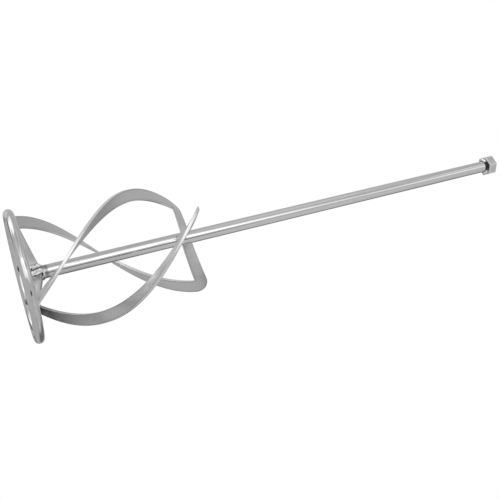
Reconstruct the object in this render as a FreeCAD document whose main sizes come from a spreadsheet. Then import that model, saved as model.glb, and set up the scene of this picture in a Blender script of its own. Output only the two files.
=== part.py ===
import FreeCAD, Part
import math
import os
import Sketcher

# Mortar mixing paddle: a round shaft with a drive nut at the top, three C-shaped
# helical blades and a round-bar mixing ring at the foot, all welded together.
# Millimetres. +Z runs up the shaft, and z = 0 is the floor under the ring.

doc = FreeCAD.newDocument("mortar_mixing_paddle")

DIMENSIONS = {
    "overall_height": 600,
    "shaft_diameter": 14,
    "shaft_foot_height": 4,
    "ring_diameter": 140,
    "ring_bar": 10,
    "nut_across_flats": 22,
    "nut_height": 11,
    "nut_turn": 27,
    "nut_bore": 12,
    "nut_countersink": 0.75,
    "nut_edge_chamfer": 0.6,
    "nut_weld_diameter": 21.4,
    "nut_weld_section": 5,
    "nut_weld_drop": 2.25,
    "shaft_foot_chamfer": 1,
    "sheet_thickness": 3,
    "ribbon_width": 13,
    "foot_arm_width": 9,
    "top_arm_slope": 8,
    "foot_arm_slope": 13,
    "window_floor": 12.8,
    "foot_corner_radius": 5,
    "trim_margin": 2,
    "top_weld_reach": 3.5,
    "top_weld_overlap": 3,
    "foot_weld_reach": 5.5,
    "foot_weld_overlap": 2.5,
    "arm_weld_standoff": 0.45,
    "ring_weld_radius": 4,
    "ring_weld_inset": 8,
    "ring_weld_height": 8.5,
    "ring_weld_aside": 4.2,
}

# The blades are cut, bent and welded by hand, so each has its own setting: where it
# starts round the shaft, the length of one full turn, how far out it reaches, how
# high its outer corner stands, how round that corner is and how wide its top arm is.
BLADE_SETTINGS = {
    1: {"start": 185, "pitch": 364, "reach": 62, "height": 193, "corner": 12, "top_arm": 11},
    2: {"start": 301.5, "pitch": 389, "reach": 64.5, "height": 193.5, "corner": 12, "top_arm": 9},
    3: {"start": 62.5, "pitch": 369, "reach": 67, "height": 187, "corner": 7.5, "top_arm": 11.5},
}

sheet = doc.addObject("Spreadsheet::Sheet", "sizes")


def write_dimension(row, name, value):
    sheet.set(f"A{row}", name)
    sheet.set(f"B{row}", str(value))
    sheet.setAlias(f"B{row}", name)


rows = dict(DIMENSIONS)
for number, setting in BLADE_SETTINGS.items():
    for key, value in setting.items():
        rows[f"blade_{number}_{key}"] = value
for row, (name, value) in enumerate(rows.items(), start=1):
    write_dimension(row, name, value)
doc.recompute()

nodes = []


def origin_feature(body, role):
    for feature in body.Origin.OriginFeatures:
        if feature.Role == role:
            return feature
    raise ValueError(f"{body.Label} has no {role}")


def new_body(name):
    body = doc.addObject("PartDesign::Body", name)
    body.Label = name
    return body


def new_sketch(body, name, role):
    sketch = body.newObject("Sketcher::SketchObject", name)
    sketch.AttachmentSupport = [(origin_feature(body, role), "")]
    sketch.MapMode = "FlatFace"
    return sketch


def bind(sketch, constraint, expression):
    """Add a dimension to a sketch and drive it from the sheet."""
    index = sketch.addConstraint(constraint)
    sketch.setExpression(f"Constraints[{index}]", expression)
    return index


def add_circle(sketch, across, up, diameter):
    """Circle whose centre and diameter are expressions."""
    centre = FreeCAD.Vector(sketch.evalExpression(across), sketch.evalExpression(up), 0)
    radius = sketch.evalExpression(diameter) / 2
    circle = sketch.addGeometry(Part.Circle(centre, FreeCAD.Vector(0, 0, 1), radius), False)
    if centre.Length == 0:
        sketch.addConstraint(Sketcher.Constraint("Coincident", circle, 3, -1, 1))
    else:
        bind(sketch, Sketcher.Constraint("DistanceX", -1, 1, circle, 3, centre.x), across)
        bind(sketch, Sketcher.Constraint("DistanceY", -1, 1, circle, 3, centre.y), up)
    bind(sketch, Sketcher.Constraint("Diameter", circle, radius * 2), diameter)
    return circle


def add_outline(sketch, corners, rounded=None):
    """Closed outline, drawn counter-clockwise.

    Each corner is two expressions: across and up. rounded maps a corner's place in
    the list to the expression for its radius.
    """
    rounded = rounded or {}
    points = [
        FreeCAD.Vector(sketch.evalExpression(across), sketch.evalExpression(up), 0)
        for across, up in corners
    ]
    count = len(points)
    starts = list(points)
    ends = [points[(i + 1) % count] for i in range(count)]
    radii = {i: sketch.evalExpression(radius) for i, radius in rounded.items()}
    middles = {}
    for i, radius in radii.items():
        back = (points[i - 1] - points[i]).normalize()
        ahead = (points[(i + 1) % count] - points[i]).normalize()
        half_angle = back.getAngle(ahead) / 2
        inward = (back + ahead).normalize()
        ends[i - 1] = points[i] + back * (radius / math.tan(half_angle))
        starts[i] = points[i] + ahead * (radius / math.tan(half_angle))
        middles[i] = points[i] + inward * (radius / math.sin(half_angle) - radius)

    lines = [
        sketch.addGeometry(Part.LineSegment(start, end), False)
        for start, end in zip(starts, ends)
    ]
    for i, (across, up) in enumerate(corners):
        before, after = lines[i - 1], lines[i]
        if i in rounded:
            arc = sketch.addGeometry(Part.Arc(ends[i - 1], middles[i], starts[i]), False)
            held = sketch.addGeometry(Part.Point(points[i]), True)
            sketch.addConstraint(Sketcher.Constraint("Tangent", before, 2, arc, 1))
            sketch.addConstraint(Sketcher.Constraint("Tangent", arc, 2, after, 1))
            sketch.addConstraint(Sketcher.Constraint("PointOnObject", held, 1, before))
            sketch.addConstraint(Sketcher.Constraint("PointOnObject", held, 1, after))
            bind(sketch, Sketcher.Constraint("Radius", arc, radii[i]), rounded[i])
        else:
            held = after
            sketch.addConstraint(Sketcher.Constraint("Coincident", before, 2, after, 1))
        bind(sketch, Sketcher.Constraint("DistanceX", -1, 1, held, 1, points[i].x), across)
        bind(sketch, Sketcher.Constraint("DistanceY", -1, 1, held, 1, points[i].y), up)


def add_rectangle(sketch, left, right, low, high):
    add_outline(sketch, [(left, low), (right, low), (right, high), (left, high)])


def turned(body, kind, name, sketch):
    """Revolution or Groove of a sketch about the body's own Z axis, a full turn."""
    feature = body.newObject(kind, name)
    feature.Profile = sketch
    feature.ReferenceAxis = (sketch, ["V_Axis"])
    feature.Angle = 360
    doc.recompute()
    return feature


def ring_edges(shape, radius, height):
    """Names of the circular edges of this radius, centred at this height."""
    names = []
    for index, edge in enumerate(shape.Edges, start=1):
        curve = edge.Curve
        if not isinstance(curve, Part.Circle):
            continue
        if abs(curve.Radius - radius) < 0.01 and abs(curve.Center.z - height) < 0.01:
            names.append(f"Edge{index}")
    return names


def flat_edges(shape, height):
    """Names of the straight edges that lie level at this height."""
    names = []
    for index, edge in enumerate(shape.Edges, start=1):
        box = edge.BoundBox
        if isinstance(edge.Curve, Part.Line) and abs(box.ZMin - height) + abs(box.ZMax - height) < 0.01:
            names.append(f"Edge{index}")
    return names


def chamfered(body, name, base, edges, size):
    chamfer = body.newObject("PartDesign::Chamfer", name)
    chamfer.Base = (base, edges)
    chamfer.setExpression("Size", size)
    doc.recompute()
    return chamfer


def make_shaft():
    body = new_body("shaft")
    body.setExpression("Placement.Base.z", "sizes.shaft_foot_height")
    sketch = new_sketch(body, "shaft_section", "XY_Plane")
    add_circle(sketch, "0", "0", "sizes.shaft_diameter")
    pad = body.newObject("PartDesign::Pad", "shaft_bar")
    pad.Profile = sketch
    pad.setExpression(
        "Length", "sizes.overall_height - sizes.nut_height - sizes.shaft_foot_height"
    )
    doc.recompute()
    foot = ring_edges(pad.Shape, sheet.shaft_diameter / 2, 0)
    chamfered(body, "shaft_foot", pad, foot, "sizes.shaft_foot_chamfer")
    nodes.append(body)
    return body


def make_nut():
    body = new_body("drive_nut")
    body.setExpression("Placement.Base.z", "sizes.overall_height - sizes.nut_height")
    body.setExpression("Placement.Rotation.Angle", "sizes.nut_turn * 1 deg")
    sketch = new_sketch(body, "nut_section", "XY_Plane")
    corner = "sizes.nut_across_flats / sqrt(3)"
    add_outline(
        sketch,
        [
            (f"{corner} * cos({60 * side} deg)", f"{corner} * sin({60 * side} deg)")
            for side in range(6)
        ],
    )
    add_circle(sketch, "0", "0", "sizes.nut_bore")
    pad = body.newObject("PartDesign::Pad", "nut_blank")
    pad.Profile = sketch
    pad.setExpression("Length", "sizes.nut_height")
    doc.recompute()
    top = sheet.nut_height
    outside = flat_edges(pad.Shape, 0) + flat_edges(pad.Shape, top)
    bevelled = chamfered(body, "nut_bevel", pad, outside, "sizes.nut_edge_chamfer")
    bore_radius = sheet.nut_bore / 2
    mouths = ring_edges(bevelled.Shape, bore_radius, 0) + ring_edges(bevelled.Shape, bore_radius, top)
    chamfered(body, "nut_countersinks", bevelled, mouths, "sizes.nut_countersink")
    nodes.append(body)


def make_nut_weld():
    body = new_body("nut_weld_bead")
    body.setExpression("Placement.Base.z", "sizes.overall_height - sizes.nut_height")
    bead = new_sketch(body, "nut_weld_section", "XZ_Plane")
    add_circle(
        bead,
        "(sizes.nut_weld_diameter - sizes.nut_weld_section) / 2",
        "-sizes.nut_weld_drop",
        "sizes.nut_weld_section",
    )
    turned(body, "PartDesign::Revolution", "nut_weld_torus", bead)
    seat = new_sketch(body, "nut_weld_seat", "XZ_Plane")
    low = "-2 * sizes.nut_weld_section"
    high = "sizes.nut_weld_section"
    add_outline(
        seat,
        [
            ("0", low),
            ("sizes.shaft_diameter / 2", low),
            ("sizes.shaft_diameter / 2", "0"),
            ("sizes.nut_weld_diameter", "0"),
            ("sizes.nut_weld_diameter", high),
            ("0", high),
        ],
    )
    turned(body, "PartDesign::Groove", "nut_weld_fit", seat)
    nodes.append(body)


def make_ring():
    body = new_body("mixing_ring")
    sketch = new_sketch(body, "ring_section", "XZ_Plane")
    add_circle(
        sketch, "(sizes.ring_diameter - sizes.ring_bar) / 2", "sizes.ring_bar / 2", "sizes.ring_bar"
    )
    turned(body, "PartDesign::Revolution", "ring_bend", sketch)
    nodes.append(body)
    return body


class Blade:
    """Expressions for one blade: its setting in the sheet and its C outline."""

    def __init__(self, number):
        self.name = f"blade_{number}"
        self.number = number
        self.start = f"sizes.blade_{number}_start"
        self.pitch = f"sizes.blade_{number}_pitch"
        self.reach = f"sizes.blade_{number}_reach"
        self.height = f"sizes.blade_{number}_height"
        self.corner = f"sizes.blade_{number}_corner"
        self.top_arm = f"sizes.blade_{number}_top_arm"
        self.hub = "sizes.shaft_diameter / 2"
        self.inside = f"({self.reach} - sizes.ribbon_width)"
        top_rise = "tan(sizes.top_arm_slope * 1 deg)"
        foot_rise = "tan(sizes.foot_arm_slope * 1 deg)"
        top_depth = f"{self.top_arm} / cos(sizes.top_arm_slope * 1 deg)"
        foot_depth = "sizes.foot_arm_width / cos(sizes.foot_arm_slope * 1 deg)"
        span = f"({self.inside} - {self.hub})"
        self.top_high = f"({self.height} - ({self.reach} - {self.hub}) * {top_rise})"
        self.top_low = f"({self.top_high} - {top_depth})"
        self.foot_high = f"(sizes.window_floor + {span} * {foot_rise})"
        self.foot_low = f"({self.foot_high} - {foot_depth})"
        self.window_top = f"({self.top_low} + {span} * {top_rise})"
        self.foot_corner = f"({self.foot_low} - ({self.reach} - {self.hub}) * {foot_rise})"

    def outline(self):
        """The C, counter-clockwise from the shaft end of the foot arm's lower edge."""
        return [
            (self.hub, self.foot_low),
            (self.reach, self.foot_corner),
            (self.reach, self.height),
            (self.hub, self.top_high),
            (self.hub, self.top_low),
            (self.inside, self.window_top),
            (self.inside, "sizes.window_floor"),
            (self.hub, self.foot_high),
        ]

    def half_wall(self, radius):
        """Half the sheet's width in a level cut, for a steady thickness square to it."""
        lean = f"(2 * pi * {radius} / {self.pitch})"
        return f"sizes.sheet_thickness / 2 * sqrt(1 + {lean} ^ 2)"


def make_blade(number):
    blade = Blade(number)
    body = new_body(blade.name)
    body.setExpression("Placement.Rotation.Angle", f"{blade.start} * 1 deg")

    section = new_sketch(body, f"{blade.name}_section", "XY_Plane")
    near = f"({blade.hub} - sizes.trim_margin)"
    far = f"({blade.reach} + sizes.trim_margin)"
    near_half = blade.half_wall(near)
    far_half = blade.half_wall(far)
    add_outline(
        section,
        [
            (near, f"-({near_half})"),
            (far, f"-({far_half})"),
            (far, far_half),
            (near, near_half),
        ],
    )
    twist = body.newObject("PartDesign::AdditiveHelix", f"{blade.name}_twist")
    twist.Profile = section
    twist.ReferenceAxis = (origin_feature(body, "Z_Axis"), [""])
    twist.Mode = "pitch-height-angle"
    twist.LeftHanded = True
    twist.setExpression("Pitch", blade.pitch)
    twist.setExpression("Height", f"{blade.height} + sizes.trim_margin")
    doc.recompute()

    trim = new_sketch(body, f"{blade.name}_trim", "XZ_Plane")
    beyond = "3 * sizes.trim_margin"
    add_rectangle(
        trim, "0", f"{blade.reach} + {beyond}", f"-({beyond})", f"{blade.height} + {beyond}"
    )
    add_outline(
        trim,
        blade.outline(),
        rounded={1: "sizes.foot_corner_radius", 2: blade.corner},
    )
    turned(body, "PartDesign::Groove", f"{blade.name}_outline", trim)

    cope = new_sketch(body, f"{blade.name}_cope", "XZ_Plane")
    add_circle(
        cope, "(sizes.ring_diameter - sizes.ring_bar) / 2", "sizes.ring_bar / 2", "sizes.ring_bar"
    )
    turned(body, "PartDesign::Groove", f"{blade.name}_ring_cope", cope)
    nodes.append(body)
    return blade, body


def make_bead(name, blade, blade_body, place, half_sizes, neighbour):
    """Weld bead: an egg of weld metal with its neighbours' solids taken out of it.

    place is how far out, how high, and how far to one side of the blade's sheet its
    middle stands; half_sizes are its half lengths up the shaft, outwards, and round
    the shaft.
    """
    radius, height, aside = place
    egg = doc.addObject("Part::Ellipsoid", f"{name}_egg")
    for prop, size in zip(("Radius1", "Radius2", "Radius3"), half_sizes):
        egg.setExpression(prop, size)
    turn = f"({blade.start} - 360 * {height} / {blade.pitch}) * 1 deg"
    egg.setExpression("Placement.Base.x", f"{radius} * cos({turn}) - {aside} * sin({turn})")
    egg.setExpression("Placement.Base.y", f"{radius} * sin({turn}) + {aside} * cos({turn})")
    egg.setExpression("Placement.Base.z", height)
    egg.setExpression("Placement.Rotation.Angle", turn)
    bead = egg
    for step, tool in enumerate([neighbour, blade_body], start=1):
        cut = doc.addObject("Part::Cut", f"{name}_fit_{step}")
        cut.Base = bead
        cut.Tool = tool
        bead = cut
    doc.recompute()
    bead.Label = name
    nodes.append(bead)


def make_blade_welds(blade, blade_body, shaft, ring):
    arms = {
        "top": (f"(({blade.top_high} + {blade.top_low}) / 2)", blade.top_arm),
        "foot": (f"(({blade.foot_high} + {blade.foot_low}) / 2)", "sizes.foot_arm_width"),
    }
    for arm, (height, width) in arms.items():
        reach = f"sizes.{arm}_weld_reach"
        overlap = f"sizes.{arm}_weld_overlap"
        make_bead(
            f"{arm}_weld_{blade.number}",
            blade,
            blade_body,
            (f"({blade.hub} + sizes.arm_weld_standoff)", height, "0"),
            (f"{width} / 2 + {overlap}", reach, reach),
            shaft,
        )
    size = "sizes.ring_weld_radius"
    make_bead(
        f"ring_weld_{blade.number}",
        blade,
        blade_body,
        (
            "(sizes.ring_diameter / 2 - sizes.ring_weld_inset)",
            "sizes.ring_weld_height",
            "sizes.ring_weld_aside",
        ),
        (size, size, size),
        ring,
    )


shaft = make_shaft()
make_nut()
make_nut_weld()
ring = make_ring()
for number in BLADE_SETTINGS:
    blade, blade_body = make_blade(number)
    make_blade_welds(blade, blade_body, shaft, ring)
doc.recompute()

for item in doc.Objects:
    if "Invalid" in item.State or "Error" in item.State:
        raise RuntimeError(f"{item.Label} did not compute")

os.makedirs("parts", exist_ok=True)
for node in nodes:
    if node.Shape.isNull() or not node.Shape.isValid():
        raise RuntimeError(f"{node.Label} has no valid solid")
    node.Shape.exportStep(f"parts/{node.Label}.step")
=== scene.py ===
import math

import bpy
from mathutils import Matrix, Vector, noise


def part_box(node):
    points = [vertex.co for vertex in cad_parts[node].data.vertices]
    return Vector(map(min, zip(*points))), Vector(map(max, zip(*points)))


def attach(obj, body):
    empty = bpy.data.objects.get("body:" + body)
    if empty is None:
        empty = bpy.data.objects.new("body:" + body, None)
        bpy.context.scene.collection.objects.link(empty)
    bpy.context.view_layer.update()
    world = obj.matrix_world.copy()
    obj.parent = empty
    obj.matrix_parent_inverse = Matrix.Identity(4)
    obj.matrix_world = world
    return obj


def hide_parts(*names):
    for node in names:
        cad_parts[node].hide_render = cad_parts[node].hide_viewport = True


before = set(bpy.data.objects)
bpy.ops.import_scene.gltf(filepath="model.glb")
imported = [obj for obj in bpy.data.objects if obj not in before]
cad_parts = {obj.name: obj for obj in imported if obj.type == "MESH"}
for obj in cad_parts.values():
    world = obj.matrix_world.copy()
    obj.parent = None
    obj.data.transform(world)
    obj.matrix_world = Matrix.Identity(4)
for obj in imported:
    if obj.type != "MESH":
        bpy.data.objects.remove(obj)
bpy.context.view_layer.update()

# Looks of the mortar mixing paddle. Shapes are worked out in millimetres in the
# row frame: +Z up the shaft, z = 0 under the ring. MM turns them into metres.
MM = 0.001
TAU = 2 * math.pi

# ---------------------------------------------------------------- sizes in mm


def node_box(name):
    low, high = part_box(name)
    return low / MM, high / MM


shaft_low, shaft_high = node_box("shaft")
ring_low, ring_high = node_box("mixing_ring")
nut_low, nut_high = node_box("drive_nut")

SHAFT_RADIUS = (shaft_high.x - shaft_low.x) / 2
RING_BAR_RADIUS = (ring_high.z - ring_low.z) / 2
RING_RADIUS = (ring_high.x - ring_low.x) / 2 - RING_BAR_RADIUS
NUT_BASE = nut_low.z
NUT_HEIGHT = nut_high.z - nut_low.z
NUT_ACROSS_FLATS = 22.0
NUT_TURN = 27.0  # degrees from +X to the nut's first corner
SHEET = 3.0  # thickness
RIBBON_WIDTH = 13.0
FOOT_ARM_WIDTH = 9.0
TOP_ARM_SLOPE = math.radians(8)
FOOT_ARM_SLOPE = math.radians(13)
WINDOW_FLOOR = 12.8  # height of the window's lower outer corner
FOOT_CORNER_RADIUS = 5.0
EDGE_ROUND = 0.35
EDGE_WEAR_BAND = 0.2  # how far past the rounding the wear on an edge goes
EDGE_SUPPORT = 0.3  # distance from the rounding to the next row of points

# The three blades differ slightly, by amounts set until their outlines matched
# the photo's. "start" is the angle round the shaft at z = 0 in degrees, and "pitch" the
# rise of one whole turn. "reach" is the distance from the axis to the outer edge,
# "height" and "corner" are the height and the rounding of the outer top corner, and
# "top_arm" is the width of the upper arm.
BLADES = {
    1: dict(start=185.0, pitch=364.0, reach=62.0, height=193.0, corner=12.0, top_arm=11.0),
    2: dict(start=301.5, pitch=389.0, reach=64.5, height=193.5, corner=12.0, top_arm=9.0),
    3: dict(start=62.5, pitch=369.0, reach=67.0, height=187.0, corner=7.5, top_arm=11.5),
}

# ---------------------------------------------------------------- node helpers


def add_node(tree, kind, inputs=None, **settings):
    made = tree.nodes.new(kind)
    for key, value in settings.items():
        setattr(made, key, value)
    for key, value in (inputs or {}).items():
        if isinstance(value, bpy.types.NodeSocket):
            tree.links.new(value, made.inputs[key])
        else:
            made.inputs[key].default_value = value
    return made


def calc(tree, operation, *values, **settings):
    inputs = dict(enumerate(values))
    return add_node(tree, "ShaderNodeMath", inputs, operation=operation, **settings).outputs[0]


def ranged(tree, value, low, high):
    """value from low..high to 0..1, held at both ends, with a smooth turn."""
    inputs = {0: value, 1: low, 2: high, 3: 0.0, 4: 1.0}
    return add_node(
        tree, "ShaderNodeMapRange", inputs, interpolation_type="SMOOTHSTEP"
    ).outputs[0]


def noise_at(tree, vector, scale, detail, roughness=0.55):
    inputs = {"Vector": vector, "Scale": scale, "Detail": detail, "Roughness": roughness}
    return add_node(tree, "ShaderNodeTexNoise", inputs).outputs["Fac"]


def mixed_colour(tree, share, first, second):
    inputs = {0: share, 6: first, 7: second}
    return add_node(tree, "ShaderNodeMix", inputs, data_type="RGBA").outputs[2]


# ---------------------------------------------------------------- materials

WORN_COLOUR = (0.76, 0.76, 0.765, 1.0)
# Near black, used both for real stains and for painted shade.
STAIN_AND_SHADE_COLOUR = (0.035, 0.033, 0.031, 1.0)
STAIN_AND_SHADE_ROUGHNESS = 0.15
# Stains and painted shade are this strong, plus the patchiness times the mottle.
STAIN_AND_SHADE_LEAST = 0.75
STAIN_AND_SHADE_PATCHINESS = 0.5
# Noise scales are per metre and the relief is in metres.
SPECK_SCALE = 2600.0
SPECK_RELIEF = 0.35
RELIEF_DEPTH = 0.0002


def plated_metal(
    name,
    dark,
    light,
    roughness,
    *,
    grain,
    grain_scale,
    grain_stretch,
    mottle,
    speckle,
    bump,
    mottle_scale=160.0,
    edge_rough=0.2,
    spread=0.1,
):
    """Bright zinc plating over steel.

    Mesh attributes: "grain" is a place whose third axis runs along the drawing or
    rolling lines, "edge" is 1 on cut and worn edges, and the stain and shade mark is 1
    where the metal is dark: partly real stains, mostly from weld heat and flux, partly
    painted shade and painted dark reflections. dark and light are the two ends of the
    metal's reflectance. grain, mottle and speckle say how much each varies it, and
    spread how much the roughness varies.
    """
    material = bpy.data.materials.new(name)
    material.use_nodes = True
    tree = material.node_tree
    tree.nodes.clear()
    along = add_node(tree, "ShaderNodeAttribute", attribute_name="grain").outputs["Vector"]
    edge = add_node(tree, "ShaderNodeAttribute", attribute_name="edge").outputs["Fac"]
    stain = add_node(tree, "ShaderNodeAttribute", attribute_name="stain").outputs["Fac"]
    stretched = add_node(
        tree, "ShaderNodeMapping", {"Vector": along, "Scale": (1.0, 1.0, grain_stretch)}
    ).outputs[0]
    place = add_node(tree, "ShaderNodeTexCoord").outputs["Object"]
    lines = noise_at(tree, stretched, grain_scale, detail=3.0, roughness=0.6)
    broad_lines = noise_at(tree, stretched, grain_scale / 5, detail=2.0)
    cloud = noise_at(tree, place, mottle_scale, detail=2.0)
    speck = noise_at(tree, place, SPECK_SCALE, detail=2.0)

    def added(total, value, share):
        """total plus share of how far value is from its middle."""
        return calc(tree, "MULTIPLY_ADD", calc(tree, "SUBTRACT", value, 0.5), share, total)

    tone = added(0.5, lines, grain)
    tone = added(tone, broad_lines, grain)
    tone = added(tone, cloud, mottle * 2)
    tone = added(tone, speck, speckle)
    tone = ranged(tree, tone, 0.0, 1.0)
    metal = mixed_colour(tree, tone, (*dark, 1.0), (*light, 1.0))
    metal = mixed_colour(tree, edge, metal, WORN_COLOUR)
    strength = calc(tree, "MULTIPLY_ADD", cloud, STAIN_AND_SHADE_PATCHINESS, STAIN_AND_SHADE_LEAST)
    patchy = calc(tree, "MULTIPLY", stain, strength, use_clamp=True)
    # Stains and painted shade darken the metal here.
    colour = mixed_colour(tree, patchy, metal, STAIN_AND_SHADE_COLOUR)

    rough = added(roughness, cloud, spread * 2)
    rough = added(rough, lines, spread)
    rough = calc(tree, "MULTIPLY_ADD", edge, edge_rough, rough)
    rough = calc(tree, "MULTIPLY_ADD", patchy, STAIN_AND_SHADE_ROUGHNESS, rough)

    height = calc(tree, "MULTIPLY_ADD", speck, SPECK_RELIEF, lines)
    relief = add_node(
        tree, "ShaderNodeBump", {"Strength": bump, "Distance": RELIEF_DEPTH, "Height": height}
    ).outputs[0]
    shader = add_node(
        tree,
        "ShaderNodeBsdfPrincipled",
        {"Base Color": colour, "Metallic": 1.0, "Roughness": rough, "Normal": relief},
    )
    add_node(tree, "ShaderNodeOutputMaterial", {"Surface": shader.outputs[0]})
    return material


bar_metal = plated_metal(
    "plated_bar",
    (0.56, 0.56, 0.565),
    (0.78, 0.78, 0.785),
    0.10,
    grain=0.35,
    grain_scale=1100.0,
    grain_stretch=0.008,
    mottle=0.15,
    speckle=0.05,
    bump=0.05,
    spread=0.05,
)
ring_metal = plated_metal(
    "plated_ring_bar",
    (0.50, 0.50, 0.505),
    (0.76, 0.76, 0.765),
    0.10,
    grain=0.3,
    grain_scale=1100.0,
    grain_stretch=0.02,
    mottle=0.25,
    speckle=0.05,
    bump=0.05,
    spread=0.05,
)
sheet_metal = plated_metal(
    "plated_sheet",
    (0.50, 0.50, 0.505),
    (0.76, 0.76, 0.765),
    0.26,
    grain=0.20,
    grain_scale=600.0,
    grain_stretch=0.04,
    mottle=0.06,
    speckle=0.0,
    edge_rough=0.12,
    bump=0.03,
    spread=0.03,
)
nut_metal = plated_metal(
    "plated_nut",
    (0.50, 0.50, 0.505),
    (0.78, 0.78, 0.785),
    0.24,
    grain=0.3,
    grain_scale=1000.0,
    grain_stretch=0.15,
    mottle=0.3,
    speckle=0.05,
    bump=0.08,
)
weld_metal = plated_metal(
    "plated_weld",
    (0.78, 0.78, 0.785),
    (0.98, 0.98, 0.98),
    0.08,
    grain=0.2,
    grain_scale=500.0,
    grain_stretch=1.0,
    mottle=0.4,
    mottle_scale=300.0,
    speckle=0.05,
    bump=0.05,
    spread=0.05,
)

# ---------------------------------------------------------------- mesh helpers

SHARP_EDGE = math.radians(40)


def add_piece(name, points, faces, grain, material, slot, nodes, **marks):
    """Piece of the paddle from points in mm, standing for the CAD nodes it replaces.

    marks are the edge wear and the stain and shade mark of each point, where it has them; the
    second holds real stains and painted shade.
    """
    mesh = bpy.data.meshes.new(name)
    mesh.from_pydata([point * MM for point in points], [], faces)
    mesh.validate()
    lines = mesh.attributes.new("grain", "FLOAT_VECTOR", "POINT")
    lines.data.foreach_set("vector", [axis * MM for vector in grain for axis in vector])
    for mark, values in marks.items():
        mesh.attributes.new(mark, "FLOAT", "POINT").data.foreach_set("value", values)
    mesh.materials.append(material)
    mesh.shade_smooth()
    mesh.set_sharp_from_angle(angle=SHARP_EDGE)
    piece = bpy.data.objects.new(name, mesh)
    bpy.context.scene.collection.objects.link(piece)
    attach(piece, "root")
    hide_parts(*nodes)


def loft(loops, ring=False):
    """Points and quads through loops of equal length.

    ring joins the last loop to the first. Otherwise both ends are capped.
    """
    count = len(loops[0])
    points = [point for loop in loops for point in loop]
    faces = []
    steps = len(loops) if ring else len(loops) - 1
    for i in range(steps):
        here = i * count
        there = (i + 1) % len(loops) * count
        for j in range(count):
            k = (j + 1) % count
            faces.append((here + j, here + k, there + k, there + j))
    if not ring:
        faces.append(tuple(reversed(range(count))))
        last = (len(loops) - 1) * count
        faces.append(tuple(last + j for j in range(count)))
    return points, faces


def polar(radius, turn, height):
    return Vector((radius * math.cos(turn), radius * math.sin(turn), height))


def spaced(low, high, count):
    return [low + (high - low) * i / (count - 1) for i in range(count)]


def smooth(value, low, high):
    """0 below low, 1 above high and a smooth rise between; low may be the larger."""
    part = min(1.0, max(0.0, (value - low) / (high - low)))
    return part * part * (3 - 2 * part)


def unevenness(point, size, seed):
    """Smooth noise from -1 to 1 with lumps about size mm across."""
    return noise.noise(point / size + Vector((seed * 7.3, seed * 3.1, seed * 5.7)))


# ---------------------------------------------------------------- shaft and ring

SHAFT_CHAMFER = 1.0
SHAFT_STAIN = 0.55
# Stretches of the shaft with fine rows of points: from its foot past the foot welds,
# and from below the lowest top weld past the highest.
FOOT_WELD_STRETCH = 28
TOP_WELD_MARGIN = 12
TOP_WELD_STRETCH = 40


def make_shaft(blades):
    """Bar with fine rows of points where the blades are welded, so that heat marks show."""
    sides = 96
    chamfer = SHAFT_CHAMFER
    foot = shaft_low.z
    weld_low = foot + FOOT_WELD_STRETCH
    weld_high = min(blade.top_low for blade in blades) - TOP_WELD_MARGIN
    weld_end = weld_high + TOP_WELD_STRETCH
    heights = spaced(foot + chamfer + 0.5, weld_low, 40) + spaced(weld_low, weld_high, 16)[1:]
    heights += spaced(weld_high, weld_end, 60)[1:] + spaced(weld_end, shaft_high.z, 48)[1:]
    profile = [(SHAFT_RADIUS - chamfer, foot), (SHAFT_RADIUS, foot + chamfer)]
    profile += [(SHAFT_RADIUS, height) for height in heights]
    loops = [
        [polar(radius, TAU * side / sides, height) for side in range(sides)]
        for radius, height in profile
    ]
    points, faces = loft(loops)
    stain = [SHAFT_STAIN * max(blade.heat(point) for blade in blades) for point in points]
    add_piece(
        "shaft_bar", points, faces, points, bar_metal, "plated_bar", ["shaft"], stain=stain
    )


# Dark mark on the ring: where it lies round the ring and round its bar, in degrees, and
# half its length and half its width in mm. It is gone at the first share of those and
# full at the second.
RING_MARK_TURN = math.radians(96.5)
RING_MARK_TILT = math.radians(-170.5)
RING_MARK_HALF_LENGTH = 3.4
RING_MARK_HALF_WIDTH = 1.1
RING_MARK_FADE = (1.3, 0.7)


def ring_mark(turn, tilt):
    """How dark the mark leaves a point of the ring, from 0 to 1."""
    along = (turn - RING_MARK_TURN + math.pi) % TAU - math.pi
    across = (tilt - RING_MARK_TILT + math.pi) % TAU - math.pi
    off = math.hypot(
        along * RING_RADIUS / RING_MARK_HALF_LENGTH,
        across * RING_BAR_RADIUS / RING_MARK_HALF_WIDTH,
    )
    return smooth(off, *RING_MARK_FADE)


def make_ring():
    around, sides = 480, 64
    loops = []
    grain = []
    stain = []
    for step in range(around):
        turn = TAU * step / around
        loop = []
        for side in range(sides):
            tilt = TAU * side / sides
            radius = RING_RADIUS + RING_BAR_RADIUS * math.cos(tilt)
            height = RING_BAR_RADIUS * (1 + math.sin(tilt))
            loop.append(polar(radius, -turn, height))
            stain.append(ring_mark(-turn, tilt))
            grain.append(
                Vector(
                    (
                        RING_BAR_RADIUS * math.cos(tilt),
                        RING_BAR_RADIUS * math.sin(tilt),
                        turn * RING_RADIUS,
                    )
                )
            )
        loops.append(loop)
    points, faces = loft(loops, ring=True)
    add_piece(
        "ring_bar", points, faces, grain, ring_metal, "plated_bar", ["mixing_ring"], stain=stain
    )


# ---------------------------------------------------------------- blades

# The two fillets of a blade: how much shorter half the weld is than half the arm's
# width, how far it reaches out over the shaft, and how far it climbs the arm.
TOP_WELD = dict(short=2.2, leg=1.4, climb=1.4)
FOOT_WELD = dict(short=0.6, leg=5.6, climb=3.2)
# Heat tint round a fillet: where it begins, is full, and ends, as shares of the
# fillet's own half size.
HEAT_BEGINS, HEAT_FULL_FROM, HEAT_FULL_TO, HEAT_ENDS = 0.7, 0.9, 1.0, 1.3


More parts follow.
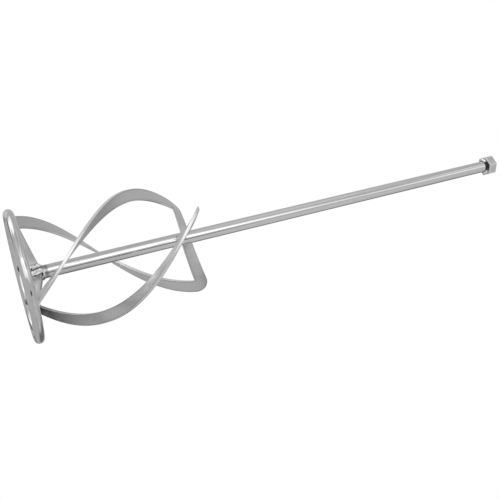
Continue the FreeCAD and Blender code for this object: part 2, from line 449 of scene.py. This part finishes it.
class Blade:
    """One twisted C of sheet. Points on it are (radius, height) in its flat outline."""

    def __init__(self, number):
        setting = BLADES[number]
        self.number = number
        self.start = setting["start"]
        self.pitch = setting["pitch"]
        self.reach = setting["reach"]
        self.height = setting["height"]
        self.corner = setting["corner"]
        self.top_arm = setting["top_arm"]
        self.inside = self.reach - RIBBON_WIDTH
        rise = math.tan(TOP_ARM_SLOPE)
        fall = math.tan(FOOT_ARM_SLOPE)
        span = self.inside - SHAFT_RADIUS
        self.top_high = self.height - (self.reach - SHAFT_RADIUS) * rise
        self.top_low = self.top_high - self.top_arm / math.cos(TOP_ARM_SLOPE)
        self.window_top = self.top_low + span * rise
        self.foot_high = WINDOW_FLOOR + span * fall
        self.foot_low = self.foot_high - FOOT_ARM_WIDTH / math.cos(FOOT_ARM_SLOPE)
        self.foot_corner = self.foot_low - (self.reach - SHAFT_RADIUS) * fall

    def turn(self, height):
        return math.radians(self.start - 360 * height / self.pitch)

    def half_wall(self, radius):
        return SHEET / 2 * math.sqrt(1 + (TAU * radius / self.pitch) ** 2)

    def heat(self, point):
        """How near a point on the shaft is to the edge of this blade's two arm welds."""
        turn = math.atan2(point.y, point.x)
        found = 0.0
        for weld in self.arm_welds():
            off = (turn - self.turn(point.z) + math.pi) % TAU - math.pi
            across = abs(off) * SHAFT_RADIUS / (weld["leg"] + SHEET / 2)
            along = abs(point.z - weld["middle"]) / (weld["half_length"] + weld["leg"])
            outside = max(across, along)
            inner = smooth(outside, HEAT_BEGINS, HEAT_FULL_FROM)
            found = max(found, smooth(outside, HEAT_ENDS, HEAT_FULL_TO) * inner)
        return found

    def arm_welds(self):
        """The two fillets that join this blade to the shaft."""
        top = {
            "name": f"top_weld_{self.number}",
            "middle": (self.top_high + self.top_low) / 2,
            "half_length": self.top_arm / 2 - TOP_WELD["short"],
            "leg": TOP_WELD["leg"],
            "climb": TOP_WELD["climb"],
        }
        foot = {
            "name": f"foot_weld_{self.number}",
            "middle": (self.foot_high + self.foot_low) / 2,
            "half_length": FOOT_ARM_WIDTH / 2 - FOOT_WELD["short"],
            "leg": FOOT_WELD["leg"],
            "climb": FOOT_WELD["climb"],
        }
        return [top, foot]

    def place(self, radius, height, aside):
        """Point at this radius and height, aside mm to the left of the sheet's middle."""
        out = math.sqrt(radius**2 - aside**2)
        turn = self.turn(height)
        return Vector(
            (
                out * math.cos(turn) - aside * math.sin(turn),
                out * math.sin(turn) + aside * math.cos(turn),
                height,
            )
        )


def rounded_corner(before, corner, after, radius, count):
    """Points of the arc that rounds a corner of the flat outline."""
    back = (before - corner).normalized()
    ahead = (after - corner).normalized()
    half = back.angle(ahead) / 2
    centre = corner + (back + ahead).normalized() * (radius / math.sin(half))
    first = corner + back * (radius / math.tan(half)) - centre
    last = corner + ahead * (radius / math.tan(half)) - centre
    sweep = math.atan2(first.x * last.y - first.y * last.x, first.dot(last))
    arc = []
    for part in spaced(0.0, 1.0, count):
        turn = sweep * part
        arc.append(
            centre
            + Vector(
                (
                    first.x * math.cos(turn) - first.y * math.sin(turn),
                    first.x * math.sin(turn) + first.y * math.cos(turn),
                )
            )
        )
    return arc


def along_path(path, count):
    """count points evenly spaced along a line of points, with both ends."""
    lengths = [0.0]
    for a, b in zip(path, path[1:]):
        lengths.append(lengths[-1] + (b - a).length)
    found = []
    segment = 0
    for target in spaced(0.0, lengths[-1], count):
        while segment < len(path) - 2 and lengths[segment + 1] < target:
            segment += 1
        run = lengths[segment + 1] - lengths[segment]
        part = (target - lengths[segment]) / run if run else 0.0
        found.append(path[segment].lerp(path[segment + 1], min(1.0, part)))
    return found


def blade_stations(blade):
    """Pairs of inner and outer edge points along the C, from the foot arm to the top arm."""
    buried = 1.0
    hub = SHAFT_RADIUS - buried
    fall = math.tan(FOOT_ARM_SLOPE)
    rise = math.tan(TOP_ARM_SLOPE)
    foot_in = Vector((hub, blade.foot_high + buried * fall))
    foot_out = Vector((hub, blade.foot_low + buried * fall))
    top_in = Vector((hub, blade.top_low - buried * rise))
    top_out = Vector((hub, blade.top_high - buried * rise))
    low_in = Vector((blade.inside, WINDOW_FLOOR))
    high_in = Vector((blade.inside, blade.window_top))
    low_corner = Vector((blade.reach, blade.foot_corner))
    high_corner = Vector((blade.reach, blade.height))
    low_arc = rounded_corner(foot_out, low_corner, high_corner, FOOT_CORNER_RADIUS, 9)
    high_arc = rounded_corner(low_corner, high_corner, top_out, blade.corner, 17)
    parts = [
        ([foot_in, low_in], [foot_out, *low_arc[:5]], 26),
        ([low_in, high_in], [*low_arc[4:], *high_arc[:9]], 84),
        ([high_in, top_in], [*high_arc[8:], top_out], 26),
    ]
    stations = []
    for inner, outer, count in parts:
        pairs = list(zip(along_path(inner, count), along_path(outer, count)))
        stations += pairs if not stations else pairs[1:]
    return stations


def sheet_section(width):
    """Closed outline round the sheet: (distance from the inner edge, share of half wall)."""
    half = SHEET / 2
    corner = []
    for degrees in (0, 30, 60, 90):
        bend = math.radians(degrees)
        share = 1 - EDGE_ROUND / half * (1 - math.cos(bend))
        corner.append((EDGE_ROUND * (1 - math.sin(bend)), share))
    support = EDGE_ROUND + EDGE_SUPPORT
    outer_front = [(width - support, 1.0)] + [(width - d, s) for d, s in corner]
    outer_back = [(d, -s) for d, s in reversed(outer_front)]
    inner_back = [(width - d, s) for d, s in outer_back][::-1]
    inner_front = [(width - d, s) for d, s in outer_front][::-1]
    front = [(support + (width - 2 * support) * i / 8, 1.0) for i in range(1, 8)]
    back = [(width - d, -s) for d, s in front]
    return front + outer_front + outer_back + back + inner_back + inner_front


# Painted dark reflection at the foot of each blade's ribbon: how dark it leaves it on each
# blade.
ROOT_PAINTED_REFLECTION = {1: 0.15, 2: 0.1, 3: 1.05}
# The heights, radii and distances below run from none to full darkening, in mm.
ROOT_REFLECTION_HEIGHTS = (95.0, 0.0)
ROOT_REFLECTION_RADII = (35.0, 50.0)
ROOT_REFLECTION_CURVE = 1.6
ROOT_REFLECTION_EDGE_SHARE = 0.35  # share of that painted reflection taken off the worn edges
# The sheet is darker towards the shaft, low down near the foot.
HUB_DARKENING = 0.26
HUB_DARKENING_RADII = (38.0, 12.0)
HUB_DARKENING_HEIGHTS = (60.0, 30.0)
# Thin dark line just inside the cut edge, between its inner and its outer side.
BURR_STAIN = 0.32
BURR_INSIDE = (1.2, 0.65)
BURR_OUTSIDE = (EDGE_ROUND, 0.6)


def sheet_stain(number, spot, near_edge, worn):
    """How dark the sheet is at a spot (radius, height) this far from its cut edge."""
    root = smooth(spot.y, *ROOT_REFLECTION_HEIGHTS) ** ROOT_REFLECTION_CURVE
    root = root * smooth(spot.x, *ROOT_REFLECTION_RADII)
    hub = HUB_DARKENING * smooth(spot.x, *HUB_DARKENING_RADII) * smooth(spot.y, *HUB_DARKENING_HEIGHTS)
    burr = BURR_STAIN * smooth(near_edge, *BURR_INSIDE) * smooth(near_edge, *BURR_OUTSIDE)
    # The root term is the painted dark reflection at the foot of the ribbon.
    return max(hub, burr, ROOT_PAINTED_REFLECTION[number] * root * (1 - ROOT_REFLECTION_EDGE_SHARE * worn))


def make_blade(blade):
    loops = []
    grain = []
    edge = []
    stain = []
    for inner, outer in blade_stations(blade):
        across = outer - inner
        loop = []
        for distance, share in sheet_section(across.length):
            spot = inner + across * (distance / across.length)
            aside = share * blade.half_wall(spot.x)
            loop.append(blade.place(spot.x, spot.y, aside))
            grain.append(Vector((spot.x, share * SHEET / 2, spot.y)))
            near_edge = min(distance, across.length - distance)
            worn = smooth(near_edge, EDGE_ROUND + EDGE_WEAR_BAND, EDGE_ROUND)
            edge.append(worn)
            stain.append(sheet_stain(blade.number, spot, near_edge, worn))
        loops.append(loop)
    points, faces = loft(loops)
    faces = [tuple(reversed(face)) for face in faces]
    name = f"blade_{blade.number}"
    add_piece(
        f"{name}_sheet", points, faces, grain, sheet_metal, "plated_sheet", [name],
        edge=edge, stain=stain,
    )


# ---------------------------------------------------------------- welds


def stadium(along, straight, half_width):
    """Point and outward direction at a distance along a slot-shaped outline."""
    turned = math.pi * half_width
    if along < straight:
        return Vector((half_width, along - straight / 2)), Vector((1.0, 0.0))
    if along < straight + turned:
        bend = (along - straight) / half_width
        normal = Vector((math.cos(bend), math.sin(bend)))
        return Vector((0.0, straight / 2)) + normal * half_width, normal
    if along < 2 * straight + turned:
        back = along - straight - turned
        return Vector((-half_width, straight / 2 - back)), Vector((-1.0, 0.0))
    bend = math.pi + (along - 2 * straight - turned) / half_width
    normal = Vector((math.cos(bend), math.sin(bend)))
    return Vector((0.0, -straight / 2)) + normal * half_width, normal


# Dark spot on the foot welds at the front of the shaft. It is gone at the first distance
# from its middle and full at the second.
WELD_SPOT = polar(SHAFT_RADIUS + 0.4, math.radians(-138), 13.8)
WELD_SPOT_FADE = (1.6, 0.9)
# The toes of the beads are dark. Across a bead, share 0 is its edge on the shaft and
# share 1 its edge on the sheet. Each pair runs from no stain to full stain.
TOE_STAIN = 0.95
TOE_ON_SHAFT = (0.22, 0.08)
TOE_ON_SHEET = (0.82, 0.95)
# Form of the beads: each lump is a share of the bead's own size, with how many mm it is
# across. The ripple's pitch is in mm, and it bows by a share of the pitch. The lumps on
# the face change over this many mm from one edge of it to the other.
LUMP, LUMP_SIZE = 0.18, 3.0
SMALL_LUMP, SMALL_LUMP_SIZE = 0.05, 1.3
CLIMB_LUMP, CLIMB_LUMP_SIZE = 0.15, 3.4
FACE_LUMP, FACE_LUMP_SIZE = 0.07, 2.2
FACE_LUMP_RUN = 6
RIPPLE_PITCH, RIPPLE, RIPPLE_BOW = 1.1, 0.008, 0.5
FACE_HOLLOW = 0.20
END_TAPER = 0.6
# How far the face of a bead is sunk towards the sheet and the shaft, how deep its hidden
# part lies in each, and how far that part stays short of the bead's two edges.
SINK_TO_SHEET, SINK_TO_SHAFT = 0.05, 0.15
IN_SHEET, IN_SHAFT = 0.8, 1.2
SHORT_OF_TOP, SHORT_OF_TOE = 0.8, 0.6


def make_arm_weld(blade, weld, seed):
    """Fillet bead all round the end of an arm where it stands on the shaft."""
    leg, climb = weld["leg"], weld["climb"]
    straight = 2 * weld["half_length"]
    half_sheet = blade.half_wall(SHAFT_RADIUS)
    perimeter = 2 * (straight + math.pi * half_sheet)
    stations, arc_steps = 140, 14
    loops = []
    stain = []
    for station in range(stations):
        along = perimeter * station / stations
        base, normal = stadium(along, straight, half_sheet)
        flat = Vector((base.x, base.y, 0.0))
        lump = LUMP * unevenness(flat, LUMP_SIZE, seed)
        small = SMALL_LUMP * unevenness(flat, SMALL_LUMP_SIZE, seed + 5)
        end_taper = 1 - END_TAPER * abs(normal.y)
        reach = leg * end_taper * (1 + lump + small)
        rise = climb * end_taper
        rise = rise * (1 + CLIMB_LUMP * unevenness(flat, CLIMB_LUMP_SIZE, seed + 9))
        outline = []
        for step in range(arc_steps + 1):
            part = step / arc_steps
            bend = math.pi / 2 * part
            middle = math.sin(math.pi * part)
            phase = TAU * (along / RIPPLE_PITCH - RIPPLE_BOW * middle)
            face = flat + Vector((0, 0, FACE_LUMP_RUN * part))
            swell = 1 + RIPPLE * middle * math.sin(phase)
            swell += FACE_LUMP * middle * unevenness(face, FACE_LUMP_SIZE, seed + 3)
            swell -= FACE_HOLLOW * middle
            aside = reach * math.cos(bend) * swell - SINK_TO_SHEET
            outline.append((aside, rise * math.sin(bend) * swell - SINK_TO_SHAFT))
            toe = max(smooth(part, *TOE_ON_SHAFT), smooth(part, *TOE_ON_SHEET))
            stain.append(TOE_STAIN * toe)
        outline.append((-IN_SHEET, rise - SHORT_OF_TOP))
        outline.append((-IN_SHEET, -IN_SHAFT))
        outline.append((reach - SHORT_OF_TOE, -IN_SHAFT))
        stain += [1.0] * 3
        loop = []
        for aside, up in outline:
            radius = SHAFT_RADIUS + up
            height = weld["middle"] + base.y + normal.y * aside
            round_shaft = math.asin(base.x / radius) + normal.x * aside / radius
            loop.append(polar(radius, blade.turn(height) + round_shaft, height))
        loops.append(loop)
    points, faces = loft(loops, ring=True)
    faces = [tuple(reversed(face)) for face in faces]
    spot = [smooth((point - WELD_SPOT).length, *WELD_SPOT_FADE) for point in points]
    stain = [max(marks) for marks in zip(stain, spot)]
    name = weld["name"]
    add_piece(
        f"{name}_bead", points, faces, points, weld_metal, "plated_weld", [name], stain=stain
    )


RING_WELD_THICKNESS = 2.1
RING_WELD_SEED = 20
RING_WELD_RIPPLE_PITCH, RING_WELD_RIPPLE, RING_WELD_RIPPLE_BOW = 1.3, 0.05, 0.25
RING_WELD_LUMP, RING_WELD_LUMP_SIZE = 0.16, 2.4
RING_WELD_TIP = 0.02  # thickness left at its two ends, as a share
# The bead runs over the ring's bar between these two angles, just off its surface and
# just off the sheet's face, and stops short of the blade's outer edge.
RING_WELD_ARC = (math.radians(-5), math.radians(100))
OFF_RING = 0.5
OFF_SHEET = 0.7
SHORT_OF_EDGE = 0.5


def ring_weld_path(blade):
    """Line along the corner between the blade's face and the inner top of the ring."""
    path = []
    for tilt in spaced(*RING_WELD_ARC, 24):
        radius = RING_RADIUS - (RING_BAR_RADIUS + OFF_RING) * math.cos(tilt)
        height = RING_BAR_RADIUS + (RING_BAR_RADIUS + OFF_RING) * math.sin(tilt)
        if radius > blade.reach - SHORT_OF_EDGE:
            break
        path.append(blade.place(radius, height, blade.half_wall(radius) + OFF_SHEET))
    return path


def make_ring_weld(blade):
    """Bead laid along that line, round in section, tapered at both ends."""
    sides = 28
    seed = RING_WELD_SEED + blade.number
    centres = along_path(ring_weld_path(blade), 72)
    length = sum((b - a).length for a, b in zip(centres, centres[1:]))
    last = len(centres) - 1
    loops = []
    side = None
    for i, centre in enumerate(centres):
        ahead = (centres[min(i + 1, last)] - centres[max(i - 1, 0)]).normalized()
        if side is None:
            side = ahead.orthogonal().normalized()
        else:
            side = (side - ahead * side.dot(ahead)).normalized()
        up = ahead.cross(side)
        part = i / last
        taper = math.sqrt(max(0.0, 1 - (2 * part - 1) ** 4))
        taper = taper * (1 - RING_WELD_TIP) + RING_WELD_TIP
        loop = []
        for j in range(sides):
            bend = TAU * j / sides
            out = side * math.cos(bend) + up * math.sin(bend)
            ripples = length * part / RING_WELD_RIPPLE_PITCH
            phase = TAU * (ripples + RING_WELD_RIPPLE_BOW * math.cos(bend))
            lump = unevenness(centre + out * RING_WELD_THICKNESS, RING_WELD_LUMP_SIZE, seed)
            swell = 1 + RING_WELD_RIPPLE * math.sin(phase) + RING_WELD_LUMP * lump
            size = RING_WELD_THICKNESS * taper * swell
            loop.append(centre + out * size)
        loops.append(loop)
    points, faces = loft(loops)
    name = f"ring_weld_{blade.number}"
    add_piece(f"{name}_bead", points, faces, points, weld_metal, "plated_weld", [name])


# The nut's weld: how thick the bead is in its two dabs and between them, and the angles
# from a dab's middle over which it thins and over which painted shade, standing for the
# shadowed gap between shaft and nut, darkens it.
DAB_THICKNESS, THIN_THICKNESS = 2.35, 1.45
DAB_MIDDLE = math.radians(10)
DAB_THINS = (math.radians(38), math.radians(14))
DAB_GAP_SHADE = (math.radians(50), math.radians(30))
# Where the middle of the bead lies, out from the shaft and down from the nut, and how
# large and how lumpy it is, all as shares of its thickness.
DAB_OUT, DAB_DOWN = 0.5, 0.8
DAB_SIZE, DAB_LUMP, DAB_LUMP_SIZE, DAB_SEED = 0.97, 0.04, 3.0, 3
# Painted shade in the crevices at the shaft and at the nut, from none to full, in mm.
CREVICE_SHADE = 0.9
CREVICE_AT_SHAFT = (0.9, 0.3)
CREVICE_AT_NUT = (0.8, 0.2)


def make_nut_weld():
    """Bead between nut and shaft: two full dabs on opposite sides, thin between with painted
    shade.
    """
    around, sides = 240, 32
    loops = []
    stain = []
    for step in range(around):
        turn = TAU * step / around
        from_dab = min(
            abs((turn - middle + math.pi) % TAU - math.pi)
            for middle in (-DAB_MIDDLE, math.pi + DAB_MIDDLE)
        )
        share = smooth(from_dab, *DAB_THINS)
        tube = THIN_THICKNESS + (DAB_THICKNESS - THIN_THICKNESS) * share
        # Painted shade: between the dabs the thin bead is painted black for the shadowed gap.
        dark = 1 - smooth(from_dab, *DAB_GAP_SHADE)
        centre = SHAFT_RADIUS + DAB_OUT * tube
        drop = DAB_DOWN * tube
        loop = []
        for side in range(sides):
            bend = TAU * side / sides
            spot = polar(centre + tube * math.cos(bend), turn, tube * math.sin(bend))
            lump = unevenness(spot, DAB_LUMP_SIZE, DAB_SEED)
            size = tube * (DAB_SIZE + DAB_LUMP * lump)
            out = centre + size * math.cos(bend)
            down = drop - size * math.sin(bend)
            loop.append(polar(out, turn, NUT_BASE - down))
            # Painted shade darkens the crevices where the bead meets the shaft and the nut.
            at_shaft = smooth(out - SHAFT_RADIUS, *CREVICE_AT_SHAFT)
            at_nut = smooth(down, *CREVICE_AT_NUT)
            stain.append(max(dark, CREVICE_SHADE * max(at_shaft, at_nut)))
        loops.append(loop)
    points, faces = loft(loops, ring=True)
    faces = [tuple(reversed(face)) for face in faces]
    add_piece(
        "nut_weld_ring_bead", points, faces, points, weld_metal, "plated_weld",
        ["nut_weld_bead"], stain=stain,
    )


# ---------------------------------------------------------------- drive nut

NUT_CHAMFER = 0.6
NUT_CORNER_ROUND = 0.45
NUT_EDGE_ROUND = 0.15
NUT_EDGE_STEP = 0.05
# Distances from a chamfer or a corner at which wear begins and is full.
WEAR_FROM, WEAR_TO = 0.9, 0.5
# Wear is seen only outside the weld on the nut's lower face and the mouth of its bore.
NUT_BEAD_REACH = 9.6
NUT_BEAD_BLEND = 0.3
THREAD_PITCH, THREAD_MINOR, THREAD_MAJOR = 2.0, 6.0, 7.0
# Shares of the half pitch: below the first is crest, and the next is the flank.
THREAD_CREST, THREAD_FLANK = 0.12, 0.68
COUNTERSINK_RADIUS, COUNTERSINK_SLOPE = 7.1, 1.2


def hexagon_turns_and_reach():
    """Angles and distances of the points of a hexagon whose corners are slightly rounded."""
    flat = NUT_ACROSS_FLATS / 2
    flat_steps, corner_steps = 18, 5
    centre_reach = (flat - NUT_CORNER_ROUND) / math.cos(math.pi / 6)
    spots = []
    for side in range(6):
        corner = math.radians(NUT_TURN + 60 * side)
        centre = Vector((math.cos(corner), math.sin(corner))) * centre_reach
        for bend in spaced(-math.pi / 6, math.pi / 6, corner_steps):
            out = Vector((math.cos(corner + bend), math.sin(corner + bend)))
            spots.append(centre + out * NUT_CORNER_ROUND)
        next_corner = corner + math.pi / 3
        next_centre = Vector((math.cos(next_corner), math.sin(next_corner))) * centre_reach
        face = corner + math.pi / 6
        lift = Vector((math.cos(face), math.sin(face))) * NUT_CORNER_ROUND
        for part in spaced(0.0, 1.0, flat_steps)[1:-1]:
            spots.append(centre.lerp(next_centre, part) + lift)
    return [(math.atan2(spot.y, spot.x), spot.length) for spot in spots]


def thread_radius(turn, height):
    """Wall of the M14 x 2 thread, with the countersinks at both mouths."""
    phase = (height / THREAD_PITCH - turn / TAU) % 1.0
    ramp = abs(2 * phase - 1)
    depth = min(1.0, max(0.0, (ramp - THREAD_CREST) / THREAD_FLANK))
    wall = THREAD_MINOR + (THREAD_MAJOR - THREAD_MINOR) * depth
    sink = COUNTERSINK_RADIUS - COUNTERSINK_SLOPE * min(height, NUT_HEIGHT - height)
    return max(wall, sink)


def make_nut():
    chamfer = NUT_CHAMFER
    shoulder = chamfer + NUT_EDGE_ROUND
    top = NUT_HEIGHT
    flat = NUT_ACROSS_FLATS / 2
    outline = hexagon_turns_and_reach()

    def hexagon(inset, height):
        share = (flat - inset) / flat
        return [polar(reach * share, turn, height) for turn, reach in outline]

    def bore(height):
        return [polar(thread_radius(turn, height), turn, height) for turn, _ in outline]

    loops = [bore(height) for height in spaced(top, 0.0, 67)]
    loops += [
        hexagon(shoulder, 0.0),
        hexagon(chamfer, NUT_EDGE_STEP),
        hexagon(NUT_EDGE_STEP, chamfer),
        hexagon(0.0, shoulder),
    ]
    low_wear, high_wear = chamfer + WEAR_FROM, top - chamfer - WEAR_FROM
    loops += [hexagon(0.0, height) for height in spaced(low_wear, high_wear, 9)]
    loops += [
        hexagon(0.0, top - chamfer - NUT_EDGE_ROUND),
        hexagon(NUT_EDGE_STEP, top - chamfer),
        hexagon(chamfer, top - NUT_EDGE_STEP),
        hexagon(shoulder, top),
    ]
    points, faces = loft(loops, ring=True)
    corner_reach = flat / math.cos(math.pi / 6)
    worn = []
    for point in points:
        reach = point.xy.length
        from_end = min(point.z, top - point.z)
        outside = smooth(reach, NUT_BEAD_REACH, NUT_BEAD_REACH + NUT_BEAD_BLEND)
        end_edge = outside * smooth(from_end, chamfer + WEAR_FROM, chamfer + WEAR_TO)
        side_edge = smooth(reach, corner_reach - WEAR_FROM, corner_reach - WEAR_TO)
        worn.append(max(end_edge, side_edge))
    lift = Vector((0, 0, NUT_BASE))
    points = [point + lift for point in points]
    add_piece(
        "drive_nut_m14", points, faces, points, nut_metal, "plated_nut", ["drive_nut"], edge=worn
    )


# ---------------------------------------------------------------- the whole paddle

blades = [Blade(number) for number in BLADES]
make_shaft(blades)
make_ring()
make_nut()
make_nut_weld()
for blade in blades:
    make_blade(blade)
    for place, weld in enumerate(blade.arm_welds()):
        make_arm_weld(blade, weld, blade.number + 10 * place)
    make_ring_weld(blade)

# ---------------------------------------------------------------- floor

# From here on lengths are in metres.
FLOOR_RADIUS = 3.0
FLOOR_FADE = (0.35, 1.6)  # distances from the origin between which the floor fades out
FLOOR_COLOUR = (0.90, 0.90, 0.90, 1.0)


def make_floor():
    """Pale floor under the paddle: seen from above only, and fading out with distance.

    The photo's camera stands slightly below it and looks through it.
    """
    sides = 96
    points = [Vector((0, 0, 0))]
    points += [polar(FLOOR_RADIUS, TAU * side / sides, 0.0) for side in range(sides)]
    faces = [(0, 1 + side, 1 + (side + 1) % sides) for side in range(sides)]
    mesh = bpy.data.meshes.new("floor")
    mesh.from_pydata(points, [], faces)
    material = bpy.data.materials.new("pale_floor")
    material.use_nodes = True
    tree = material.node_tree
    tree.nodes.clear()
    place = add_node(tree, "ShaderNodeTexCoord").outputs["Object"]
    distance = add_node(
        tree, "ShaderNodeVectorMath", {0: place}, operation="LENGTH"
    ).outputs["Value"]
    fade = ranged(tree, distance, *FLOOR_FADE)
    under = add_node(tree, "ShaderNodeNewGeometry").outputs["Backfacing"]
    clear = calc(tree, "MAXIMUM", fade, under)
    paint = add_node(tree, "ShaderNodeBsdfDiffuse", {"Color": FLOOR_COLOUR})
    open_air = add_node(tree, "ShaderNodeBsdfTransparent")
    mixed = add_node(
        tree, "ShaderNodeMixShader", {0: clear, 1: paint.outputs[0], 2: open_air.outputs[0]}
    )
    add_node(tree, "ShaderNodeOutputMaterial", {"Surface": mixed.outputs[0]})
    mesh.materials.append(material)
    floor = bpy.data.objects.new("floor", mesh)
    bpy.context.scene.collection.objects.link(floor)
    floor.visible_glossy = False
    floor.visible_shadow = False


make_floor()

# ---------------------------------------------------------------- studio

BACKDROP = 0.60
DARKEST = 0.02
# Each panel of the studio: azimuth from the front towards -X and elevation of its
# middle, half its width and half its height, all in degrees, how soft its edge is,
# and how much brighter than the backdrop it is. Those below zero are dark flags.
# They were placed by comparing the reflections with the photo's.
PANELS = [
    (17.0, -9.0, 17.0, 36.0, 0.20, 0.75),
    (32.0, 9.0, 22.0, 7.0, 0.30, 0.60),
    (4.0, 20.0, 9.0, 8.0, 0.40, 0.50),
    (5.0, 37.0, 15.0, 8.0, 0.50, 0.50),
    (22.0, 72.0, 28.0, 10.0, 0.30, 0.40),
    (35.0, -20.0, 10.0, 22.0, 0.40, 0.40),
    (62.0, -30.0, 18.0, 18.0, 0.50, 0.16),
    (104.0, -18.0, 21.0, 18.0, 0.25, 0.88),
    (125.0, -39.0, 11.0, 11.0, 0.40, 0.88),
    (152.0, -15.0, 9.0, 8.0, 0.50, 0.22),
    (78.0, -1.0, 12.0, 7.0, 0.50, -0.12),
    (156.0, -39.0, 13.0, 12.0, 0.40, -0.42),
    (-171.0, -11.0, 12.0, 9.0, 0.40, -0.32),
    (-50.0, 24.0, 22.0, 16.0, 0.50, 0.10),
    (22.0, 28.0, 11.0, 6.0, 0.50, -0.22),
    (24.0, 48.0, 6.0, 8.0, 0.50, -0.25),
    (40.0, 42.0, 10.0, 7.0, 0.50, 0.40),
    (78.0, 24.0, 24.0, 8.0, 0.50, 0.15),
    (-105.0, 22.0, 22.0, 10.0, 0.50, 0.13),
    (-26.5, 8.0, 4.5, 12.0, 0.25, -0.66),
    (-97.0, 0.0, 24.0, 9.0, 0.50, -0.07),
    (-132.0, 20.0, 24.0, 24.0, 0.40, -0.42),
    (-138.0, 58.0, 16.0, 12.0, 0.50, -0.15),
    (-140.0, -32.0, 34.0, 24.0, 0.60, -0.07),
]


def make_world():
    world = bpy.data.worlds.new("studio")
    bpy.context.scene.world = world
    world.use_nodes = True
    tree = world.node_tree
    tree.nodes.clear()
    direction = add_node(tree, "ShaderNodeTexCoord").outputs["Generated"]
    parts = add_node(tree, "ShaderNodeSeparateXYZ", {0: direction}).outputs
    back_x = calc(tree, "MULTIPLY", parts["X"], -1.0)
    back_y = calc(tree, "MULTIPLY", parts["Y"], -1.0)
    azimuth = calc(tree, "DEGREES", calc(tree, "ARCTAN2", back_x, back_y))
    elevation = calc(tree, "DEGREES", calc(tree, "ARCSINE", parts["Z"]))
    level = BACKDROP
    for middle, height, wide, tall, soft, bright in PANELS:
        aside = calc(tree, "SUBTRACT", azimuth, middle)
        aside = calc(tree, "WRAP", aside, 180.0, -180.0)
        aside = calc(tree, "DIVIDE", aside, wide)
        above = calc(tree, "DIVIDE", calc(tree, "SUBTRACT", elevation, height), tall)
        fourths = [
            calc(tree, "POWER", calc(tree, "ABSOLUTE", off), 4.0) for off in (aside, above)
        ]
        outside = calc(tree, "POWER", calc(tree, "ADD", *fourths), 0.25)
        share = ranged(tree, outside, 1 + soft, 1 - soft)
        level = calc(tree, "MULTIPLY_ADD", share, bright, level)
    level = calc(tree, "MAXIMUM", level, DARKEST)
    white = (1.0, 1.0, 1.0, 1.0)
    light = add_node(tree, "ShaderNodeBackground", {"Color": white, "Strength": level})
    seen = add_node(tree, "ShaderNodeBackground", {"Color": white, "Strength": 1.0})
    camera_ray = add_node(tree, "ShaderNodeLightPath").outputs["Is Camera Ray"]
    mixed = add_node(
        tree, "ShaderNodeMixShader", {0: camera_ray, 1: light.outputs[0], 2: seen.outputs[0]}
    )
    add_node(tree, "ShaderNodeOutputWorld", {"Surface": mixed.outputs[0]})


LAMP_PLACE = Vector((-0.9, -0.7, 1.9))
LAMP_AIM = Vector((0, 0, 0.2))
LAMP_SIZE = 1.2
LAMP_POWER = 28.0


def make_floor_light():
    """Large soft lamp that lights the floor and its shadows."""
    lamp = bpy.data.lights.new("floor_light", "AREA")
    lamp.shape = "DISK"
    lamp.size = LAMP_SIZE
    lamp.energy = LAMP_POWER
    stand = bpy.data.objects.new("floor_light", lamp)
    stand.location = LAMP_PLACE
    stand.rotation_euler = (LAMP_AIM - LAMP_PLACE).to_track_quat("-Z", "Y").to_euler()
    stand.visible_glossy = False
    stand.visible_camera = False
    bpy.context.scene.collection.objects.link(stand)


make_world()
make_floor_light()

# ---------------------------------------------------------------- camera

# Found by fitting the paddle's outline to the photo. The lens is in mm.
CAMERA_PLACE = Vector((-0.0352, -0.7563, -0.0257))
CAMERA_AIM = Vector((0.0304, 0.0, 0.2496))
CAMERA_UP = Vector((-0.9728, 0.0, 0.2318))
CAMERA_LENS = 51.26
SENSOR_WIDTH = 36.0
NEAREST = 0.01  # where the camera begins to see


def make_camera():
    data = bpy.data.cameras.new("camera")
    data.lens = CAMERA_LENS
    data.sensor_width = SENSOR_WIDTH
    data.clip_start = NEAREST
    camera = bpy.data.objects.new("camera", data)
    back = (CAMERA_PLACE - CAMERA_AIM).normalized()
    right = CAMERA_UP.cross(back).normalized()
    up = back.cross(right)
    turn = Matrix((right, up, back)).transposed().to_4x4()
    camera.matrix_world = Matrix.Translation(CAMERA_PLACE) @ turn
    bpy.context.scene.collection.objects.link(camera)
    bpy.context.scene.camera = camera


make_camera()
bpy.context.scene.view_settings.view_transform = "Standard"
bpy.context.scene.view_settings.look = "None"
